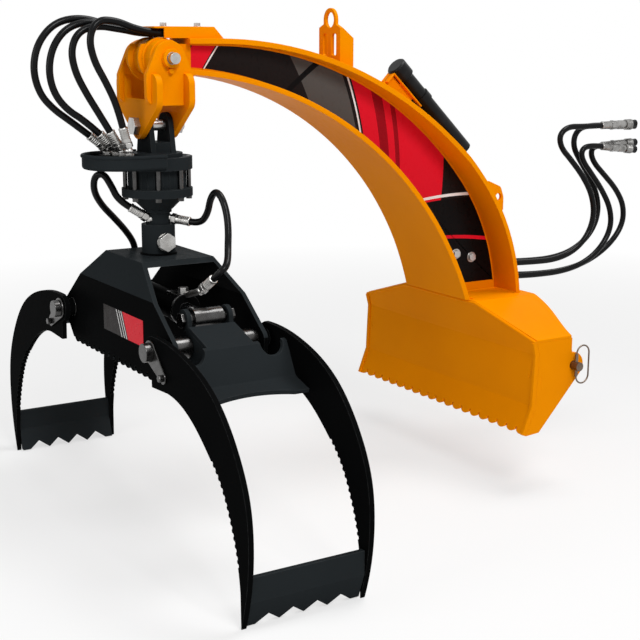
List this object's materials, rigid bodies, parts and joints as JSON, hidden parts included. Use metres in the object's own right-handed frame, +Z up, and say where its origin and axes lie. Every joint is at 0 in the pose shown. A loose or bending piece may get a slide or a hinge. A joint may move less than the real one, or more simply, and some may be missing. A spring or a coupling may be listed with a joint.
{
  "type": "log grapple",
  "caption": "Log grapple for a tractor's three-point hitch: curved boom on a toothed base, hanger, rotator and a two-claw head closed by one cylinder.",
  "frame": {"origin": "midpoint between the two lower hitch pins, on their common axis", "axes": "+X from the hitch towards the grapple, +Y to the boom's left along the hitch pins, +Z up"},
  "size_m": [1.7632, 1.3362, 1.166],
  "materials": {
    "orange_paint": "gloss",
    "black_paint": "gloss",
    "zinc_plate": "satin",
    "chrome_rod": "polished",
    "hose_rubber": "matte",
    "black_plastic": "satin"
  },
  "bodies": {
    "root": {"blade": "orange_paint", "side_plates": "orange_paint", "hitch_ears": "orange_paint", "top_cover": "orange_paint", "hitch_pins": "zinc_plate", "boom_inner_flange": "orange_paint", "boom_outer_flange": "orange_paint", "boom_webs": "orange_paint", "tip_tube": "orange_paint", "hose_cover": "orange_paint", "frame_bolts": "zinc_plate", "lifting_plate": "orange_paint", "top_link_ears": "orange_paint", "manual_tube": "black_plastic", "tube_bracket": "orange_paint", "rear_hose_1": "hose_rubber", "rear_hose_2": "hose_rubber", "rear_hose_3": "hose_rubber", "rear_hose_4": "hose_rubber", "coupler_1": "zinc_plate", "coupler_2": "zinc_plate", "coupler_3": "zinc_plate", "coupler_4": "zinc_plate", "tip_hose_1": "hose_rubber", "tip_hose_2": "hose_rubber", "tip_hose_3": "hose_rubber", "tip_hose_4": "hose_rubber"},
    "ring_left": {"ring_left": "zinc_plate"},
    "ring_right": {"ring_right": "zinc_plate"},
    "tube_cap": {"tube_cap": "black_plastic"},
    "hanger": {"hanger_side_plates": "orange_paint", "hanger_cross_plates": "orange_paint", "tip_pin": "zinc_plate", "hanger_bolt": "zinc_plate"},
    "rotator": {"rotator_bracket": "black_paint", "rotator_body": "black_paint", "tie_bolts": "zinc_plate", "hose_guard": "black_paint", "rotator_ports": "zinc_plate"},
    "head": {"rotor_shaft": "zinc_plate", "head_socket": "black_paint", "head_frame": "black_paint", "head_bosses": "black_paint", "rotor_fittings": "zinc_plate", "lower_hose_left": "hose_rubber", "lower_hose_right": "hose_rubber"},
    "claw_left": {"claw_left_plates": "black_paint", "claw_left_panel": "black_paint", "claw_left_ears": "black_paint", "claw_left_tooth_bar": "black_paint", "claw_left_pins": "zinc_plate"},
    "claw_right": {"claw_right_plates": "black_paint", "claw_right_panel": "black_paint", "claw_right_ears": "black_paint", "claw_right_tooth_bar": "black_paint", "claw_right_pins": "zinc_plate"},
    "barrel": {"barrel": "black_paint", "barrel_fittings": "zinc_plate"},
    "rod": {"rod": "chrome_rod"}
  },
  "joints": [
    {"name": "hanger_swing", "type": "hinge", "parent": "root", "child": "hanger", "pos_m": [0.938, 0, 0.738], "axis": [0, 1, 0], "range_deg": [-30, 20], "deforming": ["tip_hose_1", "tip_hose_2", "tip_hose_3", "tip_hose_4"]},
    {"name": "bracket_tilt", "type": "hinge", "parent": "hanger", "child": "rotator", "pos_m": [0.938, 0, 0.592], "axis": [1, 0, 0], "range_deg": [-25, 25]},
    {"name": "rotator_spin", "type": "hinge", "parent": "rotator", "child": "head", "pos_m": [0.938, 0, 0.4], "axis": [0, 0, 1], "continuous": true},
    {"name": "claw_close", "type": "hinge", "parent": "head", "child": "claw_left", "pos_m": [0.938, 0.259, 0.148], "axis": [-1, 0, 0], "range_deg": [0, 64], "deforming": ["lower_hose_left", "lower_hose_right"]},
    {"name": "claw_right_close", "type": "hinge", "parent": "head", "child": "claw_right", "pos_m": [0.938, -0.259, 0.148], "axis": [-1, 0, 0], "range_deg": [-64, 0]},
    {"name": "barrel_pivot", "type": "hinge", "parent": "claw_right", "child": "barrel", "pos_m": [0.938, -0.23, 0.2], "axis": [-1, 0, 0], "range_deg": [0, 64]},
    {"name": "rod_pivot", "type": "hinge", "parent": "claw_left", "child": "rod", "pos_m": [0.938, 0.23, 0.2], "axis": [-1, 0, 0], "range_deg": [-64, 0]},
    {"name": "ring_left_turn", "type": "hinge", "parent": "root", "child": "ring_left", "pos_m": [0, 0.371, 0], "axis": [0, 0, 1], "range_deg": [-75, 60]},
    {"name": "ring_right_turn", "type": "hinge", "parent": "root", "child": "ring_right", "pos_m": [0, -0.371, 0], "axis": [0, 0, 1], "range_deg": [-60, 75]},
    {"name": "cap_turn", "type": "hinge", "parent": "root", "child": "tube_cap", "pos_m": [0.294, 0, 0.718], "axis": [0.7184, 0, 0.6956], "range_deg": [0, 90]}
  ],
  "couplings": [
    {"joint": "claw_right_close", "follows": "claw_close", "ratio": -1},
    {"joint": "barrel_pivot", "follows": "claw_close", "ratio": 1},
    {"joint": "rod_pivot", "follows": "claw_close", "ratio": -1}
  ]
}
